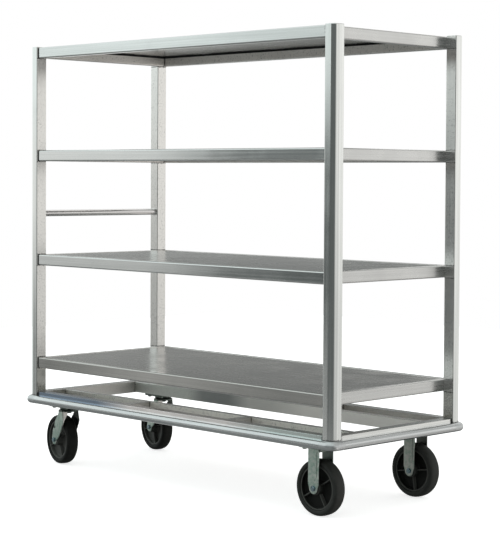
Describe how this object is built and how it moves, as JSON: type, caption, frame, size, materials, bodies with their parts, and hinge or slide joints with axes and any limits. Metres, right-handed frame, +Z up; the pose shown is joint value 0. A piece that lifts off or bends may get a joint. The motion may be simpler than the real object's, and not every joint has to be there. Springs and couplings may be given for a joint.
{
  "type": "banquet cart",
  "caption": "Tall open banquet cart: flat decks between corner posts, push handle at one end, half-round bumper round the base, swivel and fixed casters.",
  "frame": {"origin": "on the floor, below the middle of the cart", "axes": "+X along the cart towards the fixed casters (the handle is at -X), +Y across it towards the rear long side, +Z up"},
  "size_m": [1.7708, 0.7412, 1.7324],
  "materials": {
    "post": "satin, fine grain along the post",
    "rail": "satin, fine grain along the rail",
    "deck": "smooth sheet, glossy at a low angle",
    "base": "mill finish",
    "bumper": "satin extrusion",
    "handle": "polished tube",
    "caster": "zinc plated",
    "axle": "zinc plated, darker",
    "wheel": "matt, dark grey"
  },
  "bodies": {
    "frame": {"base_inner_tube_front": "base", "base_inner_tube_rear": "base", "base_rail_front": "base", "base_rail_left": "base", "base_rail_rear": "base", "base_rail_right": "base", "base_stub_front_left": "base", "base_stub_front_right": "base", "base_stub_rear_left": "base", "base_stub_rear_right": "base", "bumper_corner_front_left": "bumper", "bumper_corner_front_right": "bumper", "bumper_corner_rear_left": "bumper", "bumper_corner_rear_right": "bumper", "bumper_front": "bumper", "bumper_left": "bumper", "bumper_rear": "bumper", "bumper_right": "bumper", "caster_front_left_plate": "caster", "caster_front_right_axle": "axle", "caster_front_right_fork": "caster", "caster_rear_left_plate": "caster", "caster_rear_right_axle": "axle", "caster_rear_right_fork": "caster", "handle_bar": "handle", "post_front_left": "post", "post_front_right": "post", "post_rear_left": "post", "post_rear_right": "post", "shelf_bottom_deck": "deck", "shelf_bottom_rail_front": "rail", "shelf_bottom_rail_left": "rail", "shelf_bottom_rail_rear": "rail", "shelf_bottom_rail_right": "rail", "shelf_lower_deck": "deck", "shelf_lower_rail_front": "rail", "shelf_lower_rail_left": "rail", "shelf_lower_rail_rear": "rail", "shelf_lower_rail_right": "rail", "shelf_top_deck": "deck", "shelf_top_rail_front": "rail", "shelf_top_rail_left": "rail", "shelf_top_rail_rear": "rail", "shelf_top_rail_right": "rail", "shelf_upper_deck": "deck", "shelf_upper_rail_front": "rail", "shelf_upper_rail_left": "rail", "shelf_upper_rail_rear": "rail", "shelf_upper_rail_right": "rail"},
    "swivel_front_left": {"caster_front_left_fork": "caster", "caster_front_left_axle": "axle"},
    "wheel_front_left": {"caster_front_left_wheel": "wheel"},
    "wheel_front_right": {"caster_front_right_wheel": "wheel"},
    "swivel_rear_left": {"caster_rear_left_fork": "caster", "caster_rear_left_axle": "axle"},
    "wheel_rear_left": {"caster_rear_left_wheel": "wheel"},
    "wheel_rear_right": {"caster_rear_right_wheel": "wheel"}
  },
  "joints": [
    {"name": "swivel_front_left", "type": "hinge", "parent": "frame", "child": "swivel_front_left", "pos_m": [-0.7249, -0.2593, 0.2321], "axis": [0, 0, 1], "continuous": true},
    {"name": "roll_front_left", "type": "hinge", "parent": "swivel_front_left", "child": "wheel_front_left", "pos_m": [-0.77898, -0.24928, 0.1016], "axis": [0.1822, 0.9833, 0], "continuous": true},
    {"name": "roll_front_right", "type": "hinge", "parent": "frame", "child": "wheel_front_right", "pos_m": [0.7249, -0.2593, 0.1016], "axis": [0, 1, 0], "continuous": true},
    {"name": "swivel_rear_left", "type": "hinge", "parent": "frame", "child": "swivel_rear_left", "pos_m": [-0.7249, 0.2593, 0.2321], "axis": [0, 0, 1], "continuous": true},
    {"name": "roll_rear_left", "type": "hinge", "parent": "swivel_rear_left", "child": "wheel_rear_left", "pos_m": [-0.77898, 0.26932, 0.1016], "axis": [0.1822, 0.9833, 0], "continuous": true},
    {"name": "roll_rear_right", "type": "hinge", "parent": "frame", "child": "wheel_rear_right", "pos_m": [0.7249, 0.2593, 0.1016], "axis": [0, 1, 0], "continuous": true}
  ]
}
